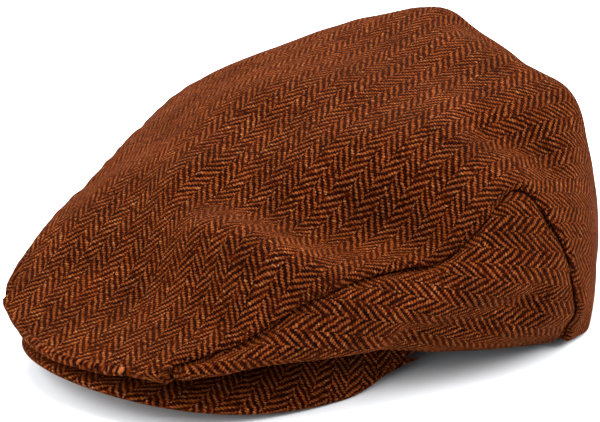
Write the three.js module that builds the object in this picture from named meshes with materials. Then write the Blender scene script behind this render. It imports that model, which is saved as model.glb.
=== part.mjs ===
import * as THREE from 'three';

// A flat cap lying on a table. Millimetres, +Z up, the peak towards -Y, the wearer's left at +X.
// The origin is on the table, under the middle of the cap's length and width.
// Azimuths are degrees round the middle of the head opening, from the front over the wearer's left.

const HEAD = { halfLength: 102.5, halfWidth: 82.5, back: 30 };
const CLOTH = 2;
const SEAM_GAP = 0.6;
const CROWN_TOP_BACK = 15;

// One row for each upright section through the crown; the wearer's right mirrors the left.
// hem: height of the lower edge. flare: how far that edge lies outside the head's oval. reach and
// height: the widest point. roll: radius of the cloth turning under there. square: how boxy the
// shoulder above it is. belly: outward bow of the wall.
const SECTIONS = [
  { azimuth: 0, hem: 20, flare: 0, reach: 165, height: 23, roll: 6, square: 2.2, belly: 0 },
  { azimuth: 20, hem: 20, flare: 0, reach: 156, height: 26, roll: 6, square: 2.4, belly: 0 },
  { azimuth: 40, hem: 18, flare: 0, reach: 129, height: 33, roll: 9, square: 2.3, belly: 0 },
  { azimuth: 60, hem: 11, flare: 0, reach: 116, height: 33, roll: 11, square: 2.3, belly: 1 },
  { azimuth: 80, hem: 6, flare: 2, reach: 114, height: 32, roll: 17, square: 2.4, belly: 1 },
  { azimuth: 100, hem: 3, flare: 13, reach: 110, height: 27, roll: 18, square: 2.4, belly: 1 },
  { azimuth: 110, hem: 1, flare: 17, reach: 105, height: 26, roll: 20, square: 2.5, belly: 1 },
  { azimuth: 120, hem: 0, flare: 13, reach: 101, height: 25, roll: 23, square: 2.6, belly: 1 },
  { azimuth: 140, hem: 0, flare: 5, reach: 99.5, height: 26, roll: 25, square: 2.7, belly: 1 },
  { azimuth: 160, hem: 0, flare: 1, reach: 101, height: 25, roll: 27, square: 2.7, belly: 1 },
  { azimuth: 180, hem: 0, flare: 0, reach: 103.5, height: 27, roll: 27, square: 3.3, belly: 2 },
];

// The crown's height along its centre line, measured back from the middle of the head opening.
const CENTRE_LINE = [
  { back: -150, height: 27 },
  { back: -110, height: 56 },
  { back: -70, height: 73 },
  { back: -30, height: 93 },
  { back: 10, height: 105 },
  { back: 50, height: 115 },
  { back: 80, height: 102 },
  { back: 105, height: 80 },
];

// The long seam between the top panel and a side panel, from its low front tip to its rear corner.
const SEAM = [
  { azimuth: 18, height: 29 },
  { azimuth: 22, height: 33 },
  { azimuth: 27, height: 39 },
  { azimuth: 33, height: 45 },
  { azimuth: 40, height: 50 },
  { azimuth: 48, height: 55 },
  { azimuth: 54, height: 57 },
  { azimuth: 60, height: 58 },
  { azimuth: 66, height: 62 },
  { azimuth: 72, height: 68 },
  { azimuth: 78, height: 74 },
  { azimuth: 83, height: 75 },
  { azimuth: 87, height: 70 },
  { azimuth: 90, height: 60 },
];
const SEAM_TIP = SEAM[0].azimuth;
const SEAM_CORNER = SEAM[SEAM.length - 1].azimuth;
const UPRIGHT_SEAM_SWING = 13;
const SWING_SPREAD = 20;

// Main folds and dents: a bell-shaped ridge (or hollow, where lift is negative) along a line from
// one point to the next (left, back of the head's middle, height).
const FOLDS = [
  { name: 'nose', line: [[-10, -88, 62], [24, -97, 57], [54, -98, 54]], width: 20, lift: 11 },
  { name: 'front valley', line: [[-29, -128, 42], [1, -133, 41]], width: 17, lift: -4.5 },
  {
    name: 'front hollow',
    line: [[-19, -100, 56], [9, -120, 46], [42, -122, 43], [59, -118, 42]],
    width: 21,
    lift: -7.5,
  },
  { name: 'lip', line: [[-9, -149, 33], [20, -149, 33]], width: 20, lift: -3.5 },
  { name: 'left flank', line: [[-41, -112, 48], [-44, -91, 59]], width: 17, lift: 2 },
  {
    name: 'long crease',
    line: [[7, -85, 64], [22, -82, 65], [51, -78, 65], [66, -65, 67], [83, -50, 65]],
    width: 16,
    lift: -10.5,
  },
  { name: 'wall foot', line: [[47, -61, 73], [68, -49, 73]], width: 12.5, lift: -7 },
  { name: 'wall brow', line: [[30, -43, 83], [47, -27, 88], [57, -7, 93]], width: 17, lift: 2 },
  {
    name: 'upper brow',
    line: [[-27, -66, 73], [-30, -43, 84], [-17, -28, 90], [2, -19, 94]],
    width: 22,
    lift: 5,
  },
  { name: 'shoulder crest', line: [[68, -16, 87], [89, -26, 74]], width: 24, lift: 4.5 },
  { name: 'shoulder dip', line: [[73, 0, 90], [84, 20, 85]], width: 12, lift: -6.5 },
  { name: 'shoulder dimple', line: [[93, 12, 77], [91, 35, 68]], width: 10, lift: -2 },
  { name: 'right crest', line: [[-16, 52, 113], [-8, 54, 114]], width: 13, lift: 4 },
  { name: 'crest hollow', line: [[14, 57, 112], [36, 60, 104]], width: 13, lift: -4 },
  { name: 'rear shoulder', line: [[62, 54, 88], [46, 76, 87]], width: 13, lift: 4 },
  { name: 'side bulge', line: [[98, -55, 40], [113, -10, 46]], width: 11, lift: 4 },
  { name: 'side valley', line: [[96, -65, 28], [112, -17, 34]], width: 9, lift: -7 },
];

// The peak: a stiff, slightly arched board. Its rim touches the table on each side, restShare of
// the way from the middle to the corner, and rises again to the corner by the hem.
const PEAK = {
  azimuth: 62,
  halfWidth: 72,
  front: 161,
  thickness: 3.5,
  arch: 12,
  restShare: 0.9,
  cornerRise: 0.85,
  underHem: 2,
  squareness: 0.73,
};

const GRID = { tipColumns: 6, sideColumns: 20, backColumns: 28, seamRow: 8, topRows: 11 };
const BEND_WORTH = 14;
const PEAK_GRID = { across: 40, out: 7 };

const radians = THREE.MathUtils.degToRad;
const lerp = THREE.MathUtils.lerp;

// Value of one column of a table, smoothly between its rows. Level ends suit mirrored tables.
function fromTable(rows, along, column, at, levelEnds = false) {
  const last = rows.length - 1;
  let i = 0;
  while (i < last - 1 && rows[i + 1][along] < at) i += 1;
  const slope = (k) => {
    if (levelEnds && (k === 0 || k === last)) return 0;
    const before = rows[Math.max(k - 1, 0)];
    const after = rows[Math.min(k + 1, last)];
    return (after[column] - before[column]) / (after[along] - before[along]);
  };
  const span = rows[i + 1][along] - rows[i][along];
  const t = (at - rows[i][along]) / span;
  if (t < 0) return rows[0][column] + slope(0) * (at - rows[0][along]);
  if (t > 1) return rows[last][column] + slope(last) * (at - rows[last][along]);
  const rise = rows[i][column] * (1 + 2 * t) * (1 - t) ** 2 + rows[i + 1][column] * (3 - 2 * t) * t * t;
  const bend = slope(i) * t * (1 - t) ** 2 - slope(i + 1) * (1 - t) * t * t;
  return rise + bend * span;
}

function section(azimuth) {
  const turned = Math.abs(THREE.MathUtils.euclideanModulo(azimuth + 180, 360) - 180);
  const row = {};
  for (const column of ['hem', 'flare', 'reach', 'height', 'roll', 'square', 'belly']) {
    row[column] = fromTable(SECTIONS, 'azimuth', column, turned, true);
  }
  row.hem = Math.max(row.hem, 0);
  return row;
}

function headRadius(azimuth) {
  const angle = radians(azimuth);
  return 1 / Math.hypot(Math.cos(angle) / HEAD.halfLength, Math.sin(angle) / HEAD.halfWidth);
}

const centreLine = (back) => fromTable(CENTRE_LINE, 'back', 'height', back);

// The points of one upright section, from the hem up the wall, round the roll and over the top.
// The wall is the straight line from the hem that just touches the roll's circle.
const meridians = new Map();
function meridian(azimuth) {
  const key = azimuth.toFixed(4);
  if (meridians.has(key)) return meridians.get(key);
  const row = section(azimuth);
  const angle = radians(azimuth);
  const place = (radius, height) =>
    new THREE.Vector3(radius * Math.sin(angle), -radius * Math.cos(angle), height);

  const hem = new THREE.Vector2(headRadius(azimuth) + row.flare, row.hem);
  const rollCentre = new THREE.Vector2(row.reach - row.roll, row.height);
  const toHem = hem.clone().sub(rollCentre);
  const touch = Math.min(Math.atan2(toHem.y, toHem.x) + Math.acos(row.roll / toHem.length()), 0);
  const wallEnd = new THREE.Vector2(Math.cos(touch), Math.sin(touch))
    .multiplyScalar(row.roll)
    .add(rollCentre);
  const wall = wallEnd.clone().sub(hem);
  const outwards = new THREE.Vector2(wall.y, -wall.x).normalize();

  const points = [];
  const wallSteps = 10;
  for (let i = 0; i < wallSteps; i += 1) {
    const t = i / wallSteps;
    const bow = row.belly * 4 * t * (1 - t);
    const p = hem.clone().addScaledVector(wall, t).addScaledVector(outwards, bow);
    points.push(place(p.x, p.y));
  }
  const rollSteps = 8;
  for (let i = 0; i < rollSteps; i += 1) {
    const a = touch * (1 - i / rollSteps);
    const p = new THREE.Vector2(Math.cos(a), Math.sin(a)).multiplyScalar(row.roll).add(rollCentre);
    points.push(place(p.x, p.y));
  }
  const widest = points.length;
  const edge = place(row.reach, row.height);
  const topSteps = 40;
  for (let i = 0; i <= topSteps; i += 1) {
    const s = Math.cos((Math.PI / 2) * (i / topSteps));
    const x = edge.x * s;
    const y = CROWN_TOP_BACK + (edge.y - CROWN_TOP_BACK) * s;
    const fall = 1 - (1 - s ** row.square) ** (1 / row.square);
    points.push(new THREE.Vector3(x, y, centreLine(y) - (centreLine(edge.y) - row.height) * fall));
  }

  const lengths = [0];
  const measures = [0];
  for (let i = 1; i < points.length; i += 1) {
    const step = points[i].clone().sub(points[i - 1]);
    const turn = i > 1 ? step.angleTo(points[i - 1].clone().sub(points[i - 2])) : 0;
    lengths.push(lengths[i - 1] + step.length());
    measures.push(measures[i - 1] + step.length() + BEND_WORTH * turn);
  }
  const made = { points, lengths, measures, widest };
  meridians.set(key, made);
  return made;
}

function foldLift(point) {
  const nearest = new THREE.Vector3();
  let lift = 0;
  for (const { line, width, lift: height } of FOLDS) {
    const corners = line.map((corner) => new THREE.Vector3(...corner));
    const distances = corners.slice(1).map((corner, i) => {
      new THREE.Line3(corners[i], corner).closestPointToPoint(point, true, nearest);
      return nearest.distanceTo(point);
    });
    lift += height * Math.exp(-((Math.min(...distances) / width) ** 2));
  }
  return lift;
}

// Where a value falls in a rising list: the step's far end, and the share of the step before it.
function findStep(list, value) {
  let i = 1;
  while (i < list.length - 1 && list[i] < value) i += 1;
  return { i, t: THREE.MathUtils.clamp((value - list[i - 1]) / (list[i] - list[i - 1]), 0, 1) };
}

// A point of the plain crown, a length up its section from the hem.
function plainPoint(azimuth, up) {
  const { points, lengths } = meridian(azimuth);
  const { i, t } = findStep(lengths, up);
  return points[i - 1].clone().lerp(points[i], t);
}

// The length up a section that lies a share of the way between two others, with the grid's rows
// drawn together where the cloth bends: a radian of bend counts as BEND_WORTH millimetres.
function spacedUp(azimuth, from, to, share) {
  const { lengths, measures } = meridian(azimuth);
  const measureAt = (up) => {
    const { i, t } = findStep(lengths, up);
    return lerp(measures[i - 1], measures[i], t);
  };
  const { i, t } = findStep(measures, lerp(measureAt(from), measureAt(to), share));
  return lerp(lengths[i - 1], lengths[i], t);
}

// Close to the point where all sections meet, the normal comes from further out.
function outwardNormal(surface, azimuth, up) {
  const top = meridian(azimuth).lengths.at(-1);
  const near = Math.min(up, top - 8);
  const around = surface(azimuth + 1.5, near).sub(surface(azimuth - 1.5, near));
  const upwards = surface(azimuth, near + 2).sub(surface(azimuth, Math.max(near - 2, 0)));
  return around.cross(upwards).normalize();
}

function foldedPoint(azimuth, up) {
  const point = plainPoint(azimuth, up);
  return point.addScaledVector(outwardNormal(plainPoint, azimuth, up), foldLift(point));
}

// How far up a section the long seam runs; in front of its tip and behind its corner, where the
// top panel has no seam, the same row of the grid follows the roll and the upright seam's top.
function seamUp(azimuth) {
  const turned = Math.abs(THREE.MathUtils.euclideanModulo(azimuth + 180, 360) - 180);
  const at = THREE.MathUtils.clamp(turned, SEAM_TIP, SEAM_CORNER);
  const height = fromTable(SEAM, 'azimuth', 'height', at);
  const { points, lengths, widest } = meridian(azimuth);
  if (turned < SEAM_TIP) return lengths[widest];
  let i = widest;
  while (i < points.length - 1 && points[i].z < height) i += 1;
  const t = (height - points[i - 1].z) / (points[i].z - points[i - 1].z);
  return Math.max(lerp(lengths[i - 1], lengths[i], t), lengths[widest]);
}

// One grid point of a panel: its azimuth column, and its row up from the hem. The upright seam
// swings back towards the hem, and the columns near it swing with it.
function panelPoint(azimuth, row, seamShift) {
  const below = Math.min(row / GRID.seamRow, 1);
  const turned = THREE.MathUtils.euclideanModulo(azimuth + 180, 360) - 180;
  const near = Math.exp(-(((Math.abs(turned) - SEAM_CORNER) / SWING_SPREAD) ** 2));
  const swung = azimuth + Math.sign(turned) * UPRIGHT_SEAM_SWING * near * (1 - below);
  const degree = radians(meridian(swung).points[0].length());
  const climb = (seamUp(swung + 0.5) - seamUp(swung - 0.5)) / degree;
  const seam = seamUp(swung) + seamShift * Math.hypot(1, climb);
  const total = meridian(swung).lengths.at(-1);
  const above = Math.max(row - GRID.seamRow, 0) / GRID.topRows;
  const up = above > 0 ? spacedUp(swung, seam, total, above) : spacedUp(swung, 0, seam, below);
  const outer = foldedPoint(swung, up);
  const normal = above < 1 ? outwardNormal(foldedPoint, swung, up) : new THREE.Vector3(0, 0, 1);
  if (row === 0 && section(swung).hem === 0) {
    outer.setZ(0);
    normal.setZ(0).normalize();
  }
  const inner = outer.clone().addScaledVector(normal, -CLOTH);
  return { outer, inner };
}

// A closed sheet of cloth over some cells of a grid. Points met twice under one name are shared.
function clothSheet(cells, pointAt) {
  const positions = [];
  const numbers = new Map();
  const number = (corner, side) => {
    const name = `${corner.name} ${side}`;
    if (!numbers.has(name)) {
      const { x, y, z } = pointAt(corner)[side];
      numbers.set(name, positions.length / 3);
      positions.push(x, y + HEAD.back, z);
    }
    return numbers.get(name);
  };
  const triangles = [];
  const addLoop = (loop) => {
    const kept = loop.filter((v, i) => v !== loop[(i + 1) % loop.length]);
    for (let i = 1; i < kept.length - 1; i += 1) triangles.push(kept[0], kept[i], kept[i + 1]);
  };
  const edges = new Map();
  for (const cell of cells) {
    addLoop(cell.map((corner) => number(corner, 'outer')));
    addLoop(cell.map((corner) => number(corner, 'inner')).reverse());
    cell.forEach((from, i) => {
      const to = cell[(i + 1) % cell.length];
      if (from.name !== to.name) edges.set(`${from.name} ${to.name}`, [from, to]);
    });
  }
  for (const [from, to] of edges.values()) {
    if (edges.has(`${to.name} ${from.name}`)) continue;
    const outer = [number(to, 'outer'), number(from, 'outer')];
    const inner = [number(from, 'inner'), number(to, 'inner')];
    addLoop(from.onTheRight ? [outer[1], ...inner, outer[0]] : [...outer, ...inner]);
  }
  const geometry = new THREE.BufferGeometry();
  geometry.setAttribute('position', new THREE.Float32BufferAttribute(positions, 3));
  geometry.setIndex(triangles);
  geometry.computeVertexNormals();
  return geometry;
}

const tweed = new THREE.MeshStandardMaterial({ color: '#7a3c17', roughness: 0.95, metalness: 0 });

function clothMesh(name, geometry) {
  const mesh = new THREE.Mesh(geometry, tweed.clone());
  mesh.name = name;
  return mesh;
}

// A side panel fills the grid from the seam's tip to the upright seam, below the long seam.
function sidePanel(name, side) {
  const gap = (azimuth) => THREE.MathUtils.radToDeg(SEAM_GAP / headRadius(azimuth));
  const start = SEAM_TIP + gap(SEAM_TIP);
  const end = SEAM_CORNER - gap(SEAM_CORNER);
  const corner = (i, row) => ({ name: `${i},${row}`, i, row, onTheRight: side < 0 });
  const cells = [];
  for (let i = 0; i < GRID.sideColumns; i += 1) {
    for (let row = 0; row < GRID.seamRow; row += 1) {
      const [a, b, c, d] = [corner(i, row), corner(i + 1, row), corner(i + 1, row + 1), corner(i, row + 1)];
      cells.push(side > 0 ? [a, b, c, d] : [a, d, c, b]);
    }
  }
  const azimuth = (i) => {
    const even = lerp(SEAM_TIP, SEAM_CORNER, i / GRID.sideColumns);
    return side * THREE.MathUtils.clamp(even, start, end);
  };
  return clothMesh(name, clothSheet(cells, ({ i, row }) => panelPoint(azimuth(i), row, -SEAM_GAP / 2)));
}

// The top panel fills the rest of the grid, all the way round.
function topPanel() {
  const columns = [];
  const addColumns = (from, to, count, openBelow) => {
    for (let i = 0; i < count; i += 1) {
      columns.push({ azimuth: lerp(from, to, i / count), openBelow });
    }
  };
  addColumns(-SEAM_TIP, SEAM_TIP, GRID.tipColumns, false);
  addColumns(SEAM_TIP, SEAM_CORNER, GRID.sideColumns, true);
  addColumns(SEAM_CORNER, 360 - SEAM_CORNER, GRID.backColumns, false);
  addColumns(360 - SEAM_CORNER, 360 - SEAM_TIP, GRID.sideColumns, true);

  const rows = GRID.seamRow + GRID.topRows;
  const corner = (i, row) => {
    const at = i % columns.length;
    const { azimuth } = columns[at];
    const onTheRight = azimuth < 0 || azimuth >= 180;
    return { name: row === rows ? 'crown top' : `${at},${row}`, azimuth, row, onTheRight };
  };
  const cells = [];
  columns.forEach((column, i) => {
    for (let row = column.openBelow ? GRID.seamRow : 0; row < rows; row += 1) {
      const [a, b, c, d] = [corner(i, row), corner(i + 1, row), corner(i + 1, row + 1), corner(i, row + 1)];
      cells.push(a.onTheRight ? [b, c, d, a] : [a, b, c, d]);
    }
  });
  return clothMesh(
    'crown_top',
    clothSheet(cells, ({ azimuth, row }) => panelPoint(azimuth, row, SEAM_GAP / 2)),
  );
}

// The peak is a board between its inner edge, just under the crown's hem, and its rim.
function peakPoint(across, out) {
  const azimuth = across * PEAK.azimuth;
  const angle = radians(azimuth);
  const hem = section(azimuth).hem;
  const baseRadius = headRadius(azimuth) - PEAK.underHem;
  const base = new THREE.Vector3(
    baseRadius * Math.sin(angle),
    -baseRadius * Math.cos(angle),
    hem - SEAM_GAP - PEAK.thickness,
  );
  const sweep = (across * Math.PI) / 2;
  const joinBack = -HEAD.halfLength * Math.cos(radians(PEAK.azimuth));
  const x = PEAK.halfWidth * Math.sin(sweep);
  const y = lerp(joinBack, -PEAK.front, Math.cos(sweep) ** PEAK.squareness);
  const inside = Math.min(Math.abs(x / PEAK.halfWidth) / Math.sin((PEAK.restShare * Math.PI) / 2), 1);
  const beyond = Math.max(Math.abs(across) - PEAK.restShare, 0) / (1 - PEAK.restShare);
  const arched = PEAK.arch * (1 - inside ** 2);
  const rim = new THREE.Vector3(x, y, arched + PEAK.cornerRise * base.z * beyond ** 2);
  return base.lerp(rim, out);
}

function peak() {
  const corner = (i, row) => ({ name: `${i},${row}`, i, row });
  const cells = [];
  for (let i = 0; i < PEAK_GRID.across; i += 1) {
    for (let row = 0; row < PEAK_GRID.out; row += 1) {
      cells.push([corner(i, row), corner(i, row + 1), corner(i + 1, row + 1), corner(i + 1, row)]);
    }
  }
  const pointAt = ({ i, row }) => {
    const lower = peakPoint((2 * i) / PEAK_GRID.across - 1, row / PEAK_GRID.out);
    const upper = lower.clone().setZ(lower.z + PEAK.thickness);
    return { outer: upper, inner: lower };
  };
  return clothMesh('peak', clothSheet(cells, pointAt));
}

const cap = new THREE.Group();
cap.add(topPanel(), sidePanel('side_left', 1), sidePanel('side_right', -1), peak());

export default cap;
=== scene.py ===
import functools
import math

import bpy
import numpy as np
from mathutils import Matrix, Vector, noise
from mathutils.kdtree import KDTree


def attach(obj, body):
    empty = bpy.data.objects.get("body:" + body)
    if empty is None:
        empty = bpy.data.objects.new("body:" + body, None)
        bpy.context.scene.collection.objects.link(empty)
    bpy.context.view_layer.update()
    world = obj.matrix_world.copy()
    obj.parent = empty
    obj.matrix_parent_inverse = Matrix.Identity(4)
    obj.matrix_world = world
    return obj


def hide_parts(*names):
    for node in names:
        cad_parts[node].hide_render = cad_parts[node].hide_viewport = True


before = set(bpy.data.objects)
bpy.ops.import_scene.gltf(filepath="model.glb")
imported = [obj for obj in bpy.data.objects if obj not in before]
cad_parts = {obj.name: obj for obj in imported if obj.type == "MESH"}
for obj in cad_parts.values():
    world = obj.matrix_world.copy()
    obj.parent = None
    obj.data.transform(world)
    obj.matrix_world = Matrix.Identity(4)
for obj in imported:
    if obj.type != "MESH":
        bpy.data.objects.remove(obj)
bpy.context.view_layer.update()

# ---------------------------------------------------------------------------------------------
# Top panel. One piece of herringbone tweed from the front lip over the crown and down round the
# back, where its two wings meet in a seam. It is sewn over the side panels with its seam
# allowance underneath, and its lower edge is turned in as a hem.

# Sizes are in millimetres, round the middle of the head opening: peak towards -y, left at +x.
# That middle lies HEAD_BACK behind the frame's origin, and the crown's sections all meet
# CROWN_TOP_BACK behind the middle.
MM = 0.001
HEAD_BACK = 30
HEAD_HALF_LENGTH = 102.5
HEAD_HALF_WIDTH = 82.5
CROWN_TOP_BACK = 15
CLOTH = 1.5

# One row for each upright section: the hem's height and how far it lies outside the head's oval,
# the widest point, the radius that the cloth turns on below it, how boxy the shoulder above it
# is, and the outward bow of the wall.
SECTIONS = [
    dict(azimuth=0, hem=20, flare=0, reach=165, height=23, roll=6, square=2.2, belly=0),
    dict(azimuth=20, hem=20, flare=0, reach=156, height=26, roll=6, square=2.4, belly=0),
    dict(azimuth=40, hem=18, flare=0, reach=129, height=33, roll=9, square=2.3, belly=0),
    dict(azimuth=60, hem=11, flare=0, reach=116, height=33, roll=11, square=2.3, belly=1),
    dict(azimuth=80, hem=6, flare=2, reach=114, height=32, roll=17, square=2.4, belly=1),
    dict(azimuth=100, hem=3, flare=13, reach=110, height=27, roll=18, square=2.4, belly=1),
    dict(azimuth=110, hem=1, flare=17, reach=105, height=26, roll=20, square=2.5, belly=1),
    dict(azimuth=120, hem=0, flare=13, reach=101, height=25, roll=23, square=2.6, belly=1),
    dict(azimuth=140, hem=0, flare=5, reach=99.5, height=26, roll=25, square=2.7, belly=1),
    dict(azimuth=160, hem=0, flare=1, reach=101, height=25, roll=27, square=2.7, belly=1),
    dict(azimuth=180, hem=0, flare=0, reach=103.5, height=27, roll=27, square=3.3, belly=2),
]

# The crown's height along its centre line, measured back from the middle of the head opening.
CENTRE_LINE = [
    dict(back=-150, height=27),
    dict(back=-110, height=56),
    dict(back=-70, height=73),
    dict(back=-30, height=93),
    dict(back=10, height=105),
    dict(back=50, height=115),
    dict(back=80, height=102),
    dict(back=105, height=80),
]

# The long seam over a side panel, from its low front tip to the top of the upright seam.
SEAM = [
    dict(azimuth=18, height=29),
    dict(azimuth=22, height=33),
    dict(azimuth=27, height=39),
    dict(azimuth=33, height=45),
    dict(azimuth=40, height=50),
    dict(azimuth=48, height=55),
    dict(azimuth=54, height=57),
    dict(azimuth=60, height=58),
    dict(azimuth=66, height=62),
    dict(azimuth=72, height=68),
    dict(azimuth=78, height=74),
    dict(azimuth=83, height=75),
    dict(azimuth=87, height=70),
    dict(azimuth=90, height=60),
]
SEAM_TIP = SEAM[0]["azimuth"]
SEAM_CORNER = SEAM[-1]["azimuth"]

# The upright seam leans: its foot lies this many degrees behind its top, and the sections near it
# lean less and less with their distance from it, spread over these degrees.
UPRIGHT_SEAM_SWING = 13
SWING_SPREAD = 20
LEAST_SWING_SHARE = 0.01

# Folds and dents of the soft crown: a ridge (or a hollow, where lift is negative) along a line.
FOLDS = [
    dict(name="nose", line=[(-10, -88, 62), (24, -97, 57), (54, -98, 54)], width=20, lift=11),
    dict(name="front valley", line=[(-29, -128, 42), (1, -133, 41)], width=17, lift=-4.5),
    dict(
        name="front hollow",
        line=[(-19, -100, 56), (9, -120, 46), (42, -122, 43), (59, -118, 42)],
        width=21,
        lift=-7.5,
    ),
    dict(name="lip", line=[(-9, -149, 33), (20, -149, 33)], width=20, lift=-3.5),
    dict(name="left flank", line=[(-41, -112, 48), (-44, -91, 59)], width=17, lift=2),
    dict(
        name="long crease",
        line=[(7, -85, 64), (22, -82, 65), (51, -78, 65), (66, -65, 67), (83, -50, 65)],
        width=16,
        lift=-10.5,
    ),
    dict(name="wall foot", line=[(47, -61, 73), (68, -49, 73)], width=12.5, lift=-7),
    dict(name="wall brow", line=[(30, -43, 83), (47, -27, 88), (57, -7, 93)], width=17, lift=2),
    dict(
        name="upper brow",
        line=[(-27, -66, 73), (-30, -43, 84), (-17, -28, 90), (2, -19, 94)],
        width=22,
        lift=5,
    ),
    dict(name="shoulder crest", line=[(68, -16, 87), (89, -26, 74)], width=24, lift=4.5),
    dict(name="shoulder dip", line=[(73, 0, 90), (84, 20, 85)], width=12, lift=-6.5),
    dict(name="shoulder dimple", line=[(93, 12, 77), (91, 35, 68)], width=10, lift=-2),
    dict(name="right crest", line=[(-16, 52, 113), (-8, 54, 114)], width=13, lift=4),
    dict(name="crest hollow", line=[(14, 57, 112), (36, 60, 104)], width=13, lift=-4),
    dict(name="rear shoulder", line=[(62, 54, 88), (46, 76, 87)], width=13, lift=4),
    dict(name="side bulge", line=[(98, -55, 40), (113, -10, 46)], width=11, lift=4),
    dict(name="side valley", line=[(96, -65, 28), (112, -17, 34)], width=9, lift=-7),
]


def from_table(rows, along, column, at, level_ends=False):
    """One column of a table, smoothly between its rows. Level ends suit mirrored tables."""
    last = len(rows) - 1
    i = 0
    while i < last - 1 and rows[i + 1][along] < at:
        i += 1

    def slope(k):
        if level_ends and k in (0, last):
            return 0
        before, after = rows[max(k - 1, 0)], rows[min(k + 1, last)]
        return (after[column] - before[column]) / (after[along] - before[along])

    span = rows[i + 1][along] - rows[i][along]
    t = (at - rows[i][along]) / span
    if t < 0:
        return rows[0][column] + slope(0) * (at - rows[0][along])
    if t > 1:
        return rows[last][column] + slope(last) * (at - rows[last][along])
    rise = rows[i][column] * (1 + 2 * t) * (1 - t) ** 2 + rows[i + 1][column] * (3 - 2 * t) * t * t
    bend = slope(i) * t * (1 - t) ** 2 - slope(i + 1) * (1 - t) * t * t
    return rise + bend * span


def turned(azimuth):
    """Degrees from the front, the same on both sides."""
    return abs((azimuth + 180) % 360 - 180)


def head_radius(azimuth):
    """From the middle to the edge of the head's oval."""
    angle = math.radians(azimuth)
    return 1 / math.hypot(math.cos(angle) / HEAD_HALF_LENGTH, math.sin(angle) / HEAD_HALF_WIDTH)


# The centre line's height at each half millimetre, from beyond the lip to beyond the back. Then the
# points in each section: WALL_STEPS up the wall and again round the widest part, and CROWN_POINTS
# over the crown.
centre_backs = np.linspace(-190, 130, 641)
centre_heights = [from_table(CENTRE_LINE, "back", "height", back) for back in centre_backs]
WALL_STEPS = 15
CROWN_POINTS = 120


@functools.lru_cache(maxsize=None)
def meridian(azimuth):
    """One upright section from the hem to the top: its points, lengths and widest point."""
    row = {
        column: from_table(SECTIONS, "azimuth", column, turned(azimuth), level_ends=True)
        for column in SECTIONS[0]
    }
    hem = np.array([head_radius(azimuth) + row["flare"], max(row["hem"], 0)])
    centre = np.array([row["reach"] - row["roll"], row["height"]])
    to_hem = hem - centre
    touch = math.atan2(to_hem[1], to_hem[0]) + math.acos(row["roll"] / np.linalg.norm(to_hem))
    touch = min(touch, 0)
    wall = centre + row["roll"] * np.array([math.cos(touch), math.sin(touch)]) - hem
    outwards = np.array([wall[1], -wall[0]]) / np.linalg.norm(wall)
    t = np.linspace(0, 1, WALL_STEPS + 1)[:-1, None]
    lower = hem + wall * t + outwards * row["belly"] * 4 * t * (1 - t)
    angles = touch * (1 - t)
    rolled = centre + row["roll"] * np.hstack([np.cos(angles), np.sin(angles)])
    sides = np.vstack([lower, rolled])
    angle = math.radians(azimuth)
    sine, cosine = math.sin(angle), math.cos(angle)
    side_points = np.stack([sides[:, 0] * sine, -sides[:, 0] * cosine, sides[:, 1]], axis=1)
    edge = np.array([row["reach"] * sine, -row["reach"] * cosine, row["height"]])
    s = np.cos(np.linspace(0, math.pi / 2, CROWN_POINTS))
    s[-1] = 0
    y = CROWN_TOP_BACK + (edge[1] - CROWN_TOP_BACK) * s
    fall = 1 - (1 - s ** row["square"]) ** (1 / row["square"])
    rise = np.interp(edge[1], centre_backs, centre_heights) - edge[2]
    z = np.interp(y, centre_backs, centre_heights) - rise * fall
    points = np.vstack([side_points, np.stack([edge[0] * s, y, z], axis=1)])
    steps = np.linalg.norm(np.diff(points, axis=0), axis=1)
    lengths = np.concatenate([[0], np.cumsum(steps)])
    return points, lengths, len(side_points)


@functools.lru_cache(maxsize=None)
def seam_up(azimuth):
    """How far up its section the long seam runs, or the grid row that carries it on."""
    points, lengths, widest = meridian(azimuth)
    if turned(azimuth) < SEAM_TIP:
        return lengths[widest]
    at = min(turned(azimuth), SEAM_CORNER)
    height = from_table(SEAM, "azimuth", "height", at)
    up = np.interp(height, points[widest:, 2], lengths[widest:])
    return max(up, lengths[widest])


# A panel is drawn on a grid of columns (azimuths) and rows. A row lies some millimetres up from the
# hem or from the seam, or a share of the way between them or on to the crown's top. EDGE_STEPS are
# the distances from a seam at which rows and columns lie close together, so that its edge is crisp.
HEM_RADIUS = 1.7
EDGE_STEPS = (0, 0.4, 0.9, 1.5, 2.2, 3.2, 4.6, 6.5, 9)
BELOW_SHARES = 30
ABOVE_SHARES = 58
HEM_ROWS = [("hem", HEM_RADIUS)]
BELOW_ROWS = [("below", k / BELOW_SHARES) for k in range(1, BELOW_SHARES)]
ABOVE_ROWS = [("above", k / ABOVE_SHARES) for k in range(1, ABOVE_SHARES + 1)]


def row_length(row, seam, total):
    """How far up its section a row lies, where the seam and the section's end lie that far up."""
    anchor, amount = row
    far = EDGE_STEPS[-1]
    if anchor == "hem":
        return amount
    if anchor == "below":
        return HEM_RADIUS + (seam - far - HEM_RADIUS) * amount
    if anchor == "seam":
        return seam + amount
    return seam + far + (total - seam - far) * amount


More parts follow.
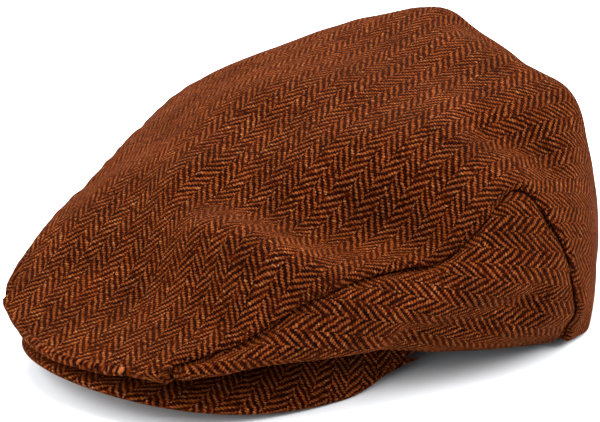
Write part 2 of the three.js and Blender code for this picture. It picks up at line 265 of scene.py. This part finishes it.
def plain_grid(columns, rows, seam_shift):
    """Points of the plain crown, without folds. seam_shift moves the seam's row by so many
    millimetres square to the seam, which is more along a section that it crosses at a slant."""
    grid = np.zeros((len(columns), len(rows), 3))
    for i, azimuth in enumerate(columns):
        signed = (azimuth + 180) % 360 - 180
        near = math.exp(-(((abs(signed) - SEAM_CORNER) / SWING_SPREAD) ** 2))
        level = seam_up(azimuth)
        for j, row in enumerate(rows):
            # How far up to the seam the row lies, as a share. Rows above the seam count as on it.
            below = min(row_length(row, level, 2 * level) / level, 1)
            swing = UPRIGHT_SEAM_SWING * near * (1 - below) if near > LEAST_SWING_SHARE else 0
            swung = round(azimuth + math.copysign(swing, signed), 2)
            points, lengths, _ = meridian(swung)
            per_degree = math.radians(np.linalg.norm(points[0]))
            climb = (seam_up(swung + 0.5) - seam_up(swung - 0.5)) / per_degree
            seam = seam_up(swung) + seam_shift * math.hypot(1, climb)
            up = row_length(row, seam, lengths[-1])
            grid[i, j] = [np.interp(up, lengths, points[:, k]) for k in range(3)]
    return grid


# TINY keeps a division safe where the grid's last row is a single point. Folds and relief move the
# cloth along directions that were evened out in so many passes.
TINY = 1e-9
FOLD_PASSES = 18
RELIEF_PASSES = 4


def normals_of(grid, closed):
    """Outward directions of the cloth at each point. A closed grid goes all the way round."""
    if closed:
        around = np.roll(grid, -1, axis=0) - np.roll(grid, 1, axis=0)
    else:
        around = np.gradient(grid, axis=0)
    normals = np.cross(around, np.gradient(grid, axis=1))
    return normals / np.maximum(np.linalg.norm(normals, axis=2, keepdims=True), TINY)


def softened(normals, passes):
    """Normals evened out up each section, so that a sharp turn of the cloth moves as a whole."""
    for _ in range(passes):
        normals[:, 1:-1] = (normals[:, :-2] + 2 * normals[:, 1:-1] + normals[:, 2:]) / 4
    return normals / np.maximum(np.linalg.norm(normals, axis=2, keepdims=True), TINY)


def fold_lift(points):
    """How far the folds move each point, by its distance from the line of each fold."""
    lift = np.zeros(points.shape[:-1])
    for fold in FOLDS:
        distances = []
        corners = np.array(fold["line"], float)
        for a, b in zip(corners, corners[1:]):
            t = np.clip((points - a) @ (b - a) / ((b - a) @ (b - a)), 0, 1)
            distances.append(np.linalg.norm(points - a - t[..., None] * (b - a), axis=-1))
        lift += fold["lift"] * np.exp(-((np.min(distances, axis=0) / fold["width"]) ** 2))
    return lift


# Millimetres along the cloth are turned to degrees as if it all lay this far from the middle.
SEAM_RADIUS = 105


def spaced(start, end, step, fine_start=False, fine_end=False):
    """Azimuths from start to end, closer together by a seam. Steps are in degrees."""
    fine = np.array(EDGE_STEPS) * math.degrees(1 / SEAM_RADIUS)
    first = start + (fine[-1] if fine_start else 0)
    last = end - (fine[-1] if fine_end else 0)
    even = np.linspace(first, last, max(2, round((last - first) / step) + 1))
    parts = [start + fine[:-1]] if fine_start else []
    parts.append(even)
    if fine_end:
        parts.append(end - fine[-2::-1])
    return list(np.concatenate(parts))


# Puckers along a sewn edge: their length along it, and the distance over which they fade away from
# it. They also change with the place from left to right, so that the two sides differ. Unevenness
# of the cloth: depth and length of each of its two waves.
PUCKER_LENGTH = 7
PUCKER_FADE = 10
UNEVENNESS = ((0.9, 30), (0.35, 12))
EDGE_SUBSTEPS = 4


def relieved(grid, edge, profile, closed):
    """Moves a panel's points along their normals: by a profile of their distance from the sewn
    edge, by the puckers that the stitches draw up along it, and by the cloth's soft unevenness."""
    steps = np.linspace(0, 1, EDGE_SUBSTEPS + 1)[:-1, None]
    fine = np.vstack([a + (b - a) * steps for a, b in zip(edge, edge[1:])])
    along = np.concatenate([[0], np.cumsum(np.linalg.norm(np.diff(fine, axis=0), axis=1))])
    tree = KDTree(len(fine))
    for k, point in enumerate(fine):
        tree.insert(point, k)
    tree.balance()
    lift = np.zeros(grid.shape[:2])
    for i in range(grid.shape[0]):
        for j in range(grid.shape[1]):
            point = Vector(grid[i, j])
            _, k, distance = tree.find(point)
            pucker = noise.noise((along[k] / PUCKER_LENGTH, point.x * 0.02, 3))
            pucker *= math.exp(-distance / PUCKER_FADE)
            uneven = sum(depth * noise.noise(point / length) for depth, length in UNEVENNESS)
            lift[i, j] = profile(distance) + pucker + uneven
    return grid + softened(normals_of(grid, closed), RELIEF_PASSES) * lift[..., None]


# Rows of the hem: turned up inside the cap, and round its lower edge.
TURNED_UP_ROWS = 9
HEM_ARC_ROWS = 6


def with_hem(grid, closed):
    """Adds the rows of the hem: the cloth rolled under and turned up inside."""
    normals = normals_of(grid, closed)
    inner = (grid - normals * 2 * HEM_RADIUS)[:, TURNED_UP_ROWS - 1::-1]
    down = grid[:, 0] - grid[:, 1]
    down /= np.linalg.norm(down, axis=1, keepdims=True)
    centre = grid[:, 0] - normals[:, 0] * HEM_RADIUS
    arc = [
        centre + HEM_RADIUS * (normals[:, 0] * math.cos(angle) + down * math.sin(angle))
        for angle in np.linspace(math.pi, 0, HEM_ARC_ROWS + 2)[1:-1]
    ]
    whole = np.concatenate([inner, np.stack(arc, axis=1), grid], axis=1)
    whole[..., 2] = np.maximum(whole[..., 2], 0)
    return whole


def cloth_piece(name, grid, cells, cut=()):
    """A sheet over some cells of a grid, and the numbers of its points. Where the grid's last row
    is one point, it is shared. cut holds pairs of points that a seam in the flat cut runs along."""
    pole = np.ptp(grid[:, -1], axis=0).max() < TINY
    numbers, places, faces = {}, [], []
    for cell in cells:
        face = []
        for i, j in cell:
            key = (0, j) if pole and j == grid.shape[1] - 1 else (i % grid.shape[0], j)
            if key not in numbers:
                numbers[key] = len(places)
                x, y, z = grid[key]
                places.append((x * MM, (y + HEAD_BACK) * MM, z * MM))
            if numbers[key] not in face:
                face.append(numbers[key])
        faces.append(face)
    mesh = bpy.data.meshes.new(name)
    mesh.from_pydata(places, [], faces)
    piece = bpy.data.objects.new(name, mesh)
    bpy.context.scene.collection.objects.link(piece)
    pairs = {tuple(sorted((numbers[a], numbers[b]))) for a, b in cut}
    for edge in mesh.edges:
        edge.use_seam = tuple(sorted(edge.vertices)) in pairs
    for face in mesh.polygons:
        face.use_smooth = True
    return piece, numbers


def only(piece):
    """Makes the piece the only one selected, and the active one."""
    bpy.ops.object.select_all(action="DESELECT")
    piece.select_set(True)
    bpy.context.view_layer.objects.active = piece


def face_corners(mesh):
    """The vertex number at each face corner, and the number of each face's first corner."""
    corner = np.zeros(len(mesh.loops), int)
    mesh.loops.foreach_get("vertex_index", corner)
    return corner, np.array([face.loop_start for face in mesh.polygons])


def carried_on(mesh, flat, places, turned_under):
    """The flat cut with its turned-under lines of points laid straight on, all in one direction,
    beyond their second point."""
    corner, _ = face_corners(mesh)
    under = {k for points in turned_under for k in points[2:]}
    laid = {}
    for face in mesh.polygons:
        if not under & set(face.vertices):
            laid.update((corner[k], flat[k]) for k in face.loop_indices)
    way = sum(laid[edge] - laid[above] for above, edge, *rest in turned_under)
    way = way / np.linalg.norm(way)
    for _, edge, *rest in turned_under:
        reached, last = laid[edge], edge
        for k in rest:
            reached = reached + way * np.linalg.norm(places[k] - places[last])
            laid[k], last = reached, k
    for face in mesh.polygons:
        if under & set(face.vertices):
            for k in face.loop_indices:
                flat[k] = laid[corner[k]]
    return flat


def lay_flat(piece, start, end, shift, turned_under=()):
    """Lays the sheet flat as it was cut, as a UV map in millimetres of cloth. The line between
    two places on it runs along the cloth's stripes. turned_under holds lines of points that go
    straight on from the flat cloth beyond their second point. Returns the cut's width, length and
    area."""
    mesh = piece.data
    places = np.array([vertex.co for vertex in mesh.vertices]) / MM - (0, HEAD_BACK, 0)
    start, end = (int(np.argmin(np.linalg.norm(places - p, axis=1))) for p in (start, end))
    mesh.uv_layers.new(name="cloth")
    only(piece)
    bpy.ops.object.mode_set(mode="EDIT")
    bpy.ops.mesh.select_all(action="SELECT")
    bpy.ops.uv.unwrap(method="MINIMUM_STRETCH")
    bpy.ops.object.mode_set(mode="OBJECT")
    flat = np.zeros(len(mesh.loops) * 2)
    mesh.uv_layers["cloth"].data.foreach_get("uv", flat)
    flat = flat.reshape(-1, 2)
    corner, first = face_corners(mesh)
    a, b = flat[first + 1] - flat[first], flat[first + 2] - flat[first]
    flat_area = np.abs(a[:, 0] * b[:, 1] - a[:, 1] * b[:, 0]).sum()
    place = np.array([vertex.co for vertex in mesh.vertices])[corner] / MM
    a, b = place[first + 1] - place[first], place[first + 2] - place[first]
    flat *= math.sqrt(np.linalg.norm(np.cross(a, b), axis=1).sum() / flat_area)
    if turned_under:
        flat = carried_on(mesh, flat, places, turned_under)
    line = flat[np.argmax(corner == end)] - flat[np.argmax(corner == start)]
    line /= np.linalg.norm(line)
    flat = flat @ np.array([[line[1], line[0]], [-line[0], line[1]]])
    flat += np.array(shift) - flat.min(axis=0)
    mesh.uv_layers["cloth"].data.foreach_set("uv", flat.ravel())
    width, length = np.ptp(flat, axis=0) * MM
    area = sum(face.area for face in mesh.polygons)
    return width, length, area


def give_thickness(piece):
    """Gives the sheet the cloth's thickness, inwards from its outer face."""
    solid = piece.modifiers.new("thickness", "SOLIDIFY")
    solid.thickness = CLOTH * MM
    solid.offset = -1
    solid.use_even_offset = False
    only(piece)
    bpy.ops.object.modifier_apply(modifier="thickness")


# The top panel reaches OVERLAP beyond the seam. Its edge rolls down over EDGE_ROLL, and behind it
# the seam allowance makes a ridge that fades out.
OVERLAP = 1.0
EDGE_ROLL = 2.2
RIDGE_HEIGHT = 0.9
RIDGE_FADE = 5


def top_profile(distance):
    """How far the top panel stands out at some distance from its sewn edge."""
    if distance < EDGE_ROLL:
        return -RIDGE_HEIGHT + 2 * RIDGE_HEIGHT * math.sin(math.pi / 2 * distance / EDGE_ROLL)
    return RIDGE_HEIGHT * math.exp(-(((distance - EDGE_ROLL) / RIDGE_FADE) ** 2))


# Columns run from the right side seam's front tip over the front, the left side, the back and the
# right side. tip, corner_at and other_corner are the columns of the left seam's front tip, the left
# seam's rear corner and the right seam's rear corner.
PLAIN_STEP = 1.5
SEWN_STEP = 0.9
over = math.degrees(OVERLAP / SEAM_RADIUS)
front = spaced(-SEAM_TIP - over, SEAM_TIP + over, PLAIN_STEP, True, True)
left = spaced(SEAM_TIP + over, SEAM_CORNER - over, SEWN_STEP)
back = spaced(SEAM_CORNER - over, 360 - SEAM_CORNER + over, PLAIN_STEP, True, True)
columns = front + left[1:-1] + back + [360 - azimuth for azimuth in reversed(left[1:-1])]
rows = HEM_ROWS + BELOW_ROWS + [("seam", -step) for step in EDGE_STEPS[:0:-1]]
rows += [("seam", step) for step in EDGE_STEPS] + ABOVE_ROWS
seam_row = rows.index(("seam", 0))
grid = plain_grid(columns, rows, -OVERLAP)
normals = softened(normals_of(grid, closed=True), FOLD_PASSES)
normals[:, -1] = (0, 0, 1)
grid += normals * fold_lift(grid)[..., None]
tip, corner_at = len(front) - 1, len(front) + len(left) - 2
other_corner = corner_at + len(back) - 1

# The edges sewn to the side panels: up the tip, along the long seam and down the upright one on the
# left, then up the upright one, along and down on the right.
sewn_edge = np.vstack([
    grid[tip, :seam_row],
    grid[tip:corner_at + 1, seam_row],
    grid[corner_at, :seam_row][::-1],
    grid[other_corner, :seam_row],
    grid[other_corner:, seam_row],
    grid[0, :seam_row + 1][::-1],
])
grid = relieved(grid, sewn_edge, top_profile, closed=True)
grid[:, -1] = grid[:, -1].mean(axis=0)
grid = with_hem(grid, closed=True)

# The cells of the side panels are left out. The flat cut opens along the centre back, up to
# CENTRE_SEAM_ROWS above the seam's row, and along the lip's front edge.
CENTRE_SEAM_ROWS = 30
lip_row = TURNED_UP_ROWS + HEM_ARC_ROWS + seam_row
cells = []
for i in range(len(columns)):
    sewn = tip <= i < corner_at or i >= other_corner
    for j in range(lip_row if sewn else 0, grid.shape[1] - 1):
        cells.append([(i, j), (i + 1, j), (i + 1, j + 1), (i, j + 1)])
centre_back = int(np.argmin(np.abs(np.array(columns) - 180)))
cut = [((centre_back, j), (centre_back, j + 1)) for j in range(lip_row + CENTRE_SEAM_ROWS)]
cut += [((i, lip_row), (i + 1, lip_row)) for i in range(tip)]
top, numbers = cloth_piece("crown_top_cloth", grid, cells, cut)
far_up = lip_row + len(EDGE_STEPS) - 1
under_lip = [[numbers[i, j] for j in (far_up, *range(lip_row, -1, -1))] for i in range(tip + 1)]
above_lip, crown_top = (0, -120, 50), (0, CROWN_TOP_BACK, 106)
width, length, area = lay_flat(top, above_lip, crown_top, (0, 0), under_lip)
give_thickness(top)


def linear(hex_colour):
    """A colour given as sRGB hex, turned to linear."""
    parts = [int(hex_colour[k:k + 2], 16) / 255 for k in (1, 3, 5)]
    return [c / 12.92 if c <= 0.04045 else ((c + 0.055) / 1.055) ** 2.4 for c in parts] + [1]


def add_node(tree, kind, settings=None, inputs=None):
    """A node with its settings, and a value or a link on each of its named inputs."""
    made = tree.nodes.new(kind)
    for name, value in (settings or {}).items():
        setattr(made, name, value)
    for name, value in (inputs or {}).items():
        if isinstance(value, bpy.types.NodeSocket):
            tree.links.new(value, made.inputs[name])
        else:
            made.inputs[name].default_value = value
    return made


# Herringbone wool tweed, woven two over and two under from two-ply yarns, with the twill turning
# round at each stripe. Rust, ochre and rose-tan weft over an almost black warp: ropy diagonal
# lines, soft and matt, with deep gaps, pale and dark flecks, and a little fuzz seen edge on.
# WARP_MM and WEFT_MM are from yarn to yarn, and PLY_MM is one turn of a yarn's two plies. TONE_CHANGE
# is how far a yarn's tone moves on at each yarn that it crosses.
WARP_MM = 0.79
WEFT_MM = 0.875
STRIPE_YARNS = 8
REPEAT_YARNS = 4
PLY_MM = 0.6
TONE_CHANGE = 0.09
tweed = bpy.data.materials.new("herringbone_wool_tweed")
tweed.use_nodes = True
tree = tweed.node_tree
tree.nodes.clear()


def maths(operation, *values):
    """A sum on numbers."""
    inputs = dict(enumerate(values))
    return add_node(tree, "ShaderNodeMath", {"operation": operation}, inputs).outputs[0]


def vectors(operation, *values):
    """A sum on places or colours."""
    inputs = dict(enumerate(values))
    return add_node(tree, "ShaderNodeVectorMath", {"operation": operation}, inputs).outputs[0]


def blend(share, first, second):
    """A colour between two, or one of them where share is 0 or 1."""
    mixed = add_node(tree, "ShaderNodeMix", {"data_type": "RGBA"}, {0: share, 6: first, 7: second})
    return mixed.outputs[2]


def cloth_noise(where, scale, detail):
    """Flat noise. scale is about how many waves it has in one unit of where."""
    inputs = {"Vector": where, "Scale": scale, "Detail": detail}
    return add_node(tree, "ShaderNodeTexNoise", {"noise_dimensions": "2D"}, inputs)


def colour_ramp(share, stops):
    """A colour for each share, between stops of a position and an sRGB hex colour."""
    made = add_node(tree, "ShaderNodeValToRGB", {}, {0: share})
    ends = made.color_ramp.elements
    ends[0].position, ends[0].color = stops[0][0], linear(stops[0][1])
    ends[1].position, ends[1].color = stops[-1][0], linear(stops[-1][1])
    for position, hex_colour in stops[1:-1]:
        ends.new(position).color = linear(hex_colour)
    return made.outputs[0]


# Where a point lies on the flat cloth, a little wavy, and counted in yarns.
cloth_map = add_node(tree, "ShaderNodeUVMap", {"uv_map": "cloth"}).outputs["UV"]
sway = vectors("SUBTRACT", cloth_noise(cloth_map, 0.3, 3.0).outputs["Color"], (0.5, 0.5, 0.5))
moved = vectors("MULTIPLY_ADD", sway, (1.5, 1.5, 0), cloth_map)
yarns = vectors("DIVIDE", moved, (WARP_MM, WEFT_MM, 1))
split = add_node(tree, "ShaderNodeSeparateXYZ", {}, {0: yarns})
warp_number = maths("FLOOR", split.outputs["X"])
weft_number = maths("FLOOR", split.outputs["Y"])
across_warp = maths("FRACT", split.outputs["X"])
across_weft = maths("FRACT", split.outputs["Y"])

# The weave. The weft lies on top for the first two yarns of each repeat and the warp for the other
# two, and each weft yarn starts its repeat one warp yarn along from the last. Odd stripes go the
# other way. Each yarn's way along its float runs from 0 to 1.
stripe = maths("FLOOR", maths("DIVIDE", warp_number, STRIPE_YARNS))
is_odd = maths("FLOORED_MODULO", stripe, 2.0)
sign = maths("MULTIPLY_ADD", is_odd, -2.0, 1.0)
lifted = maths("MULTIPLY_ADD", sign, warp_number, maths("ADD", weft_number, is_odd))
step = maths("FLOORED_MODULO", lifted, REPEAT_YARNS)
weft_shows = maths("LESS_THAN", step, 1.5)
along_weft = maths("ADD", maths("MULTIPLY_ADD", sign, across_warp, is_odd), step)
along_weft = maths("MULTIPLY", along_weft, 0.5)
along_warp = maths("ADD", maths("SUBTRACT", step, 2.0), across_weft)
along_warp = maths("MULTIPLY", along_warp, 0.5)


def yarn_height(across, along, length, pitch):
    """The round back of a yarn over one float, with the slanted grooves between its two plies."""
    off_centre = maths("ABSOLUTE", maths("MULTIPLY_ADD", across, 2.0, -1.0))
    side = maths("MAXIMUM", maths("SUBTRACT", 1.0, maths("POWER", off_centre, 2.2)), 0.0)
    arch = maths("MULTIPLY_ADD", maths("SINE", maths("MULTIPLY", along, math.pi)), 0.75, 0.25)
    turn = maths("ADD", maths("MULTIPLY", length, pitch / PLY_MM), maths("MULTIPLY", across, 0.8))
    ply = maths("MULTIPLY_ADD", maths("SINE", maths("MULTIPLY", turn, 2 * math.pi)), 0.16, 0.84)
    return maths("MULTIPLY", maths("MULTIPLY", maths("POWER", side, 0.6), arch), ply)


weft_height = yarn_height(across_weft, along_weft, split.outputs["X"], WARP_MM)
warp_height = yarn_height(across_warp, along_warp, split.outputs["Y"], WEFT_MM)
warp_height = maths("MULTIPLY", warp_height, 0.75)
heights = {0: weft_shows, 2: warp_height, 3: weft_height}
height = add_node(tree, "ShaderNodeMix", {}, heights).outputs[0]

# Each yarn has its own tone, which changes slowly along it.
weft_along = maths("MULTIPLY", split.outputs["X"], TONE_CHANGE)
weft_apart = maths("MULTIPLY", weft_number, 1.37)
weft_place = add_node(tree, "ShaderNodeCombineXYZ", {}, {0: weft_along, 1: weft_apart})
weft_tone = cloth_noise(weft_place.outputs[0], 1.0, 3.0).outputs["Fac"]
weft_stops = [
    (0.3, "#5e240a"),
    (0.4, "#8a3c12"),
    (0.47, "#a4511f"),
    (0.52, "#96502c"),
    (0.58, "#ab501a"),
    (0.66, "#ba6636"),
    (0.75, "#c67a42"),
]
weft_colour = colour_ramp(weft_tone, weft_stops)
warp_along = maths("MULTIPLY", split.outputs["Y"], TONE_CHANGE)
warp_apart = maths("MULTIPLY", warp_number, 1.71)
warp_place = add_node(tree, "ShaderNodeCombineXYZ", {}, {0: warp_apart, 1: warp_along})
warp_tone = cloth_noise(warp_place.outputs[0], 1.0, 2.0).outputs["Fac"]
warp_colour = colour_ramp(warp_tone, [(0.35, "#240802"), (0.55, "#401004"), (0.72, "#5e1c08")])
colour = blend(weft_shows, warp_colour, weft_colour)

# Pale flecks in the weft, dark specks of wool, and the shade between and under the yarns.
flecks = cloth_noise(cloth_map, 0.9, 1.0)
pale = maths("MULTIPLY", maths("GREATER_THAN", flecks.outputs["Fac"], 0.755), weft_shows)
colour = blend(pale, colour, linear("#d89a68"))
neps = cloth_noise(vectors("ADD", cloth_map, (310, 170, 0)), 0.45, 1.0)
colour = blend(maths("GREATER_THAN", neps.outputs["Fac"], 0.75), colour, linear("#1c0c08"))
clouds = cloth_noise(cloth_map, 0.05, 3.0).outputs["Fac"]
depth = maths("MULTIPLY_ADD", maths("POWER", height, 1.2), 0.95, 0.2)
depth = maths("MULTIPLY", depth, maths("MULTIPLY_ADD", clouds, 0.5, 0.28))
scaled = {0: colour, "Scale": depth}
colour = add_node(tree, "ShaderNodeVectorMath", {"operation": "SCALE"}, scaled).outputs[0]

# The relief of the yarns, with loose fibres over it.
loose = {"Vector": cloth_map, "Scale": 2.2, "Detail": 3.0, "Roughness": 0.7}
fibres = add_node(tree, "ShaderNodeTexNoise", {}, loose)
bumped = maths("MULTIPLY_ADD", fibres.outputs["Fac"], 0.5, height)
relief = {"Strength": 1.0, "Distance": 0.4 * MM, "Height": bumped}
bump = add_node(tree, "ShaderNodeBump", {}, relief)
shader = add_node(
    tree,
    "ShaderNodeBsdfPrincipled",
    {},
    {
        "Base Color": colour,
        "Roughness": 0.95,
        "Specular IOR Level": 0.02,
        "Sheen Weight": 0.2,
        "Sheen Roughness": 0.3,
        "Sheen Tint": linear("#d0641e"),
        "Normal": bump.outputs[0],
    },
)
add_node(tree, "ShaderNodeOutputMaterial", {}, {"Surface": shader.outputs[0]})

top.data.materials.append(tweed)
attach(top, "root")
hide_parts("crown_top")

# ---------------------------------------------------------------------------------------------
# Side panels. A D-shaped piece of the same cloth on each side, set in under the top panel from a
# point low at the front to the upright seam behind the ear, with its stripes along the head.

# The side panel reaches UNDERLAP in under the top panel. It lies TUCK_DEPTH deeper there, and comes
# up over TUCK_RISE beyond the top panel's edge. Its cut is laid SIDE_APART along the cloth.
UNDERLAP = 2.6
TUCK_DEPTH = 2.8
TUCK_RISE = 4.5
SIDE_STEP = 0.8
SIDE_APART = 300


def side_profile(distance):
    """How far the side panel is pressed in at some distance from its edge, as a negative height."""
    t = min(max((distance - UNDERLAP - OVERLAP) / TUCK_RISE, 0), 1)
    return -TUCK_DEPTH * (1 - t * t * (3 - 2 * t))


under = math.degrees(UNDERLAP / SEAM_RADIUS)
for side, name, node in ((1, "side_left_cloth", "side_left"), (-1, "side_right_cloth", "side_right")):
    columns = spaced(SEAM_TIP - under, SEAM_CORNER + under, SIDE_STEP, True, True)
    if side < 0:
        columns = [360 - azimuth for azimuth in reversed(columns)]
    rows = HEM_ROWS + BELOW_ROWS + [("seam", -step) for step in reversed(EDGE_STEPS)]
    beyond = [("seam", step) for step in EDGE_STEPS[1:]]
    grid = plain_grid(columns, rows + beyond, UNDERLAP)
    grid += softened(normals_of(grid, closed=False), FOLD_PASSES) * fold_lift(grid)[..., None]
    grid = grid[:, :len(rows)]
    edge = np.vstack([grid[0, :-1], grid[:, -1], grid[-1, :-1][::-1]])
    grid = relieved(grid, edge, side_profile, closed=False)
    grid = with_hem(grid, closed=False)
    cells = [
        [(i, j), (i + 1, j), (i + 1, j + 1), (i, j + 1)]
        for i in range(grid.shape[0] - 1)
        for j in range(grid.shape[1] - 1)
    ]
    piece, _ = cloth_piece(name, grid, cells)
    by_tip, by_ear = (side * 84, -82, 40), (side * 109, 0, 12)
    width, length, area = lay_flat(piece, by_tip, by_ear, (SIDE_APART * side, 0))
    give_thickness(piece)
    piece.data.materials.append(tweed)
    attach(piece, "root")
    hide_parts(node)

# ---------------------------------------------------------------------------------------------
# Peak. A stiff board, bowed a little from side to side, covered above and below with the same
# cloth, which wraps round its thin rim. Its inner edge is sewn under the front of the hem.

# It is sewn on from PEAK_AZIMUTH on one side to the other. Its rim rises PEAK_ARCH in the middle,
# comes down to the table PEAK_REST_SHARE of the way to the corner, and rises again to the corner,
# where its rounding fades out over PEAK_CORNER_FADE of the rim. PEAK_SQUARENESS shapes its outline.
# Its cuts are laid PEAK_APART along the cloth.
PEAK_AZIMUTH = 62
PEAK_HALF_WIDTH = 72
PEAK_FRONT = 161
PEAK_THICKNESS = 3.5
PEAK_ARCH = 12
PEAK_REST_SHARE = 0.9
PEAK_CORNER_RISE = 0.85
PEAK_CORNER_FADE = 0.06
PEAK_UNDER_HEM = 2
PEAK_GAP = 0.5
PEAK_SQUARENESS = 0.73
PEAK_COLUMNS = 121
PEAK_ROWS = 33
PEAK_ARC_POINTS = 11
PEAK_APART = 700


def peak_point(across, out):
    """A point of the peak's lower face: across from -1 to 1, out from the hem (0) to the rim (1)."""
    azimuth = across * PEAK_AZIMUTH
    angle = math.radians(azimuth)
    radius = head_radius(azimuth) - PEAK_UNDER_HEM
    hem = from_table(SECTIONS, "azimuth", "hem", turned(azimuth), level_ends=True)
    under_hem = hem - PEAK_GAP - PEAK_THICKNESS
    base = np.array([radius * math.sin(angle), -radius * math.cos(angle), under_hem])
    x = PEAK_HALF_WIDTH * math.sin(across * math.pi / 2)
    join = -HEAD_HALF_LENGTH * math.cos(math.radians(PEAK_AZIMUTH))
    y = join + (-PEAK_FRONT - join) * max(math.cos(across * math.pi / 2), 0) ** PEAK_SQUARENESS
    inside = min(abs(x / PEAK_HALF_WIDTH) / math.sin(PEAK_REST_SHARE * math.pi / 2), 1)
    beyond = max(abs(across) - PEAK_REST_SHARE, 0) / (1 - PEAK_REST_SHARE)
    arched = PEAK_ARCH * (1 - inside ** 2)
    rim = np.array([x, y, arched + PEAK_CORNER_RISE * base[2] * beyond ** 2])
    return base + (rim - base) * out


shares = np.linspace(-1, 1, PEAK_COLUMNS)
outs = np.linspace(0, 1, PEAK_ROWS)
lower = np.array([[peak_point(a, o) for o in outs] for a in shares])
upper = lower + (0, 0, PEAK_THICKNESS)
rim_way = np.gradient(lower[:, -1], axis=0)
rim_out = np.stack([rim_way[:, 1], -rim_way[:, 0], 0 * rim_way[:, 0]], axis=1)
rim_out /= np.linalg.norm(rim_out, axis=1, keepdims=True)
half = PEAK_THICKNESS / 2
rim_out *= np.clip((1 - abs(shares)) / PEAK_CORNER_FADE, 0, 1)[:, None]
rim_up = np.array([0, 0, 1])
arc = [
    (lower[:, -1] + upper[:, -1]) / 2 + half * (rim_out * math.cos(a) + rim_up * math.sin(a))
    for a in np.linspace(math.pi / 2, -math.pi / 2, PEAK_ARC_POINTS)[1:]
]
for name, grid in (
    ("peak_top_cloth", np.concatenate([upper, np.stack(arc, axis=1)], axis=1)),
    ("peak_under_cloth", lower[:, ::-1]),
):
    cells = [
        [(i, j), (i, j + 1), (i + 1, j + 1), (i + 1, j)]
        for i in range(grid.shape[0] - 1)
        for j in range(grid.shape[1] - 1)
    ]
    piece, _ = cloth_piece(name, grid, cells)
    by_rim, by_hem = (0, -150, 14), (0, -112, 18)
    width, length, area = lay_flat(piece, by_rim, by_hem, (PEAK_APART, 0))
    piece.data.materials.append(tweed)
    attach(piece, "root")
    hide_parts("peak")

# ---------------------------------------------------------------------------------------------
# Floor, light and camera. A sheet of white paper lies under the cap, with softboxes round it and a
# longer lens that looks down on it a little from its left front.

bpy.ops.mesh.primitive_plane_add(size=8, location=(0, 0, -0.0002))
floor = bpy.context.object
floor.name = "floor"
paper = bpy.data.materials.new("white_paper_sweep")
paper.use_nodes = True
paper.node_tree.nodes["Principled BSDF"].inputs["Base Color"].default_value = (0.9, 0.93, 0.96, 1)
paper.node_tree.nodes["Principled BSDF"].inputs["Roughness"].default_value = 0.9
floor.data.materials.append(paper)

world = bpy.data.worlds.new("white_studio")
bpy.context.scene.world = world
world.use_nodes = True
world.node_tree.nodes["Background"].inputs["Color"].default_value = (1, 1, 1, 1)
world.node_tree.nodes["Background"].inputs["Strength"].default_value = 0.2

# The lamps and the camera look at AIM, in metres. Azimuths are degrees from the front over the left.
AIM = Vector((-0.0266, 0.0198, 0.0343))
LAMP_DISTANCE = 1.5
CAMERA_AZIMUTH = 46.87
CAMERA_ELEVATION = 19.89
CAMERA_DISTANCE = 0.9576


def from_angles(azimuth, elevation):
    """The direction from AIM towards an azimuth and an elevation."""
    a, e = math.radians(azimuth), math.radians(elevation)
    return Vector((math.sin(a) * math.cos(e), -math.cos(a) * math.cos(e), math.sin(e)))


# Azimuth and elevation in degrees, width in metres, power in watts.
for name, azimuth, elevation, size, power in (
    ("back_right_softbox", 230, 40, 1.0, 36),
    ("back_left_softbox", 125, 42, 1.0, 34),
    ("front_right_softbox", 330, 40, 1.0, 18),
    ("front_left_softbox", 20, 28, 1.0, 15),
    ("overhead_softbox", 20, 72, 0.35, 8),
):
    lamp = bpy.data.lights.new(name, "AREA")
    lamp.size = size
    lamp.energy = power
    light = bpy.data.objects.new(name, lamp)
    bpy.context.scene.collection.objects.link(light)
    way = from_angles(azimuth, elevation)
    light.location = AIM + way * LAMP_DISTANCE
    light.rotation_euler = way.to_track_quat("Z", "Y").to_euler()

camera_data = bpy.data.cameras.new("camera")
camera = bpy.data.objects.new("camera", camera_data)
bpy.context.scene.collection.objects.link(camera)
way = from_angles(CAMERA_AZIMUTH, CAMERA_ELEVATION)
camera.location = AIM + way * CAMERA_DISTANCE
camera.rotation_euler = way.to_track_quat("Z", "Y").to_euler()
camera_data.sensor_width = 36
camera_data.lens = 133.9
bpy.context.scene.camera = camera
bpy.context.scene.view_settings.view_transform = "Standard"
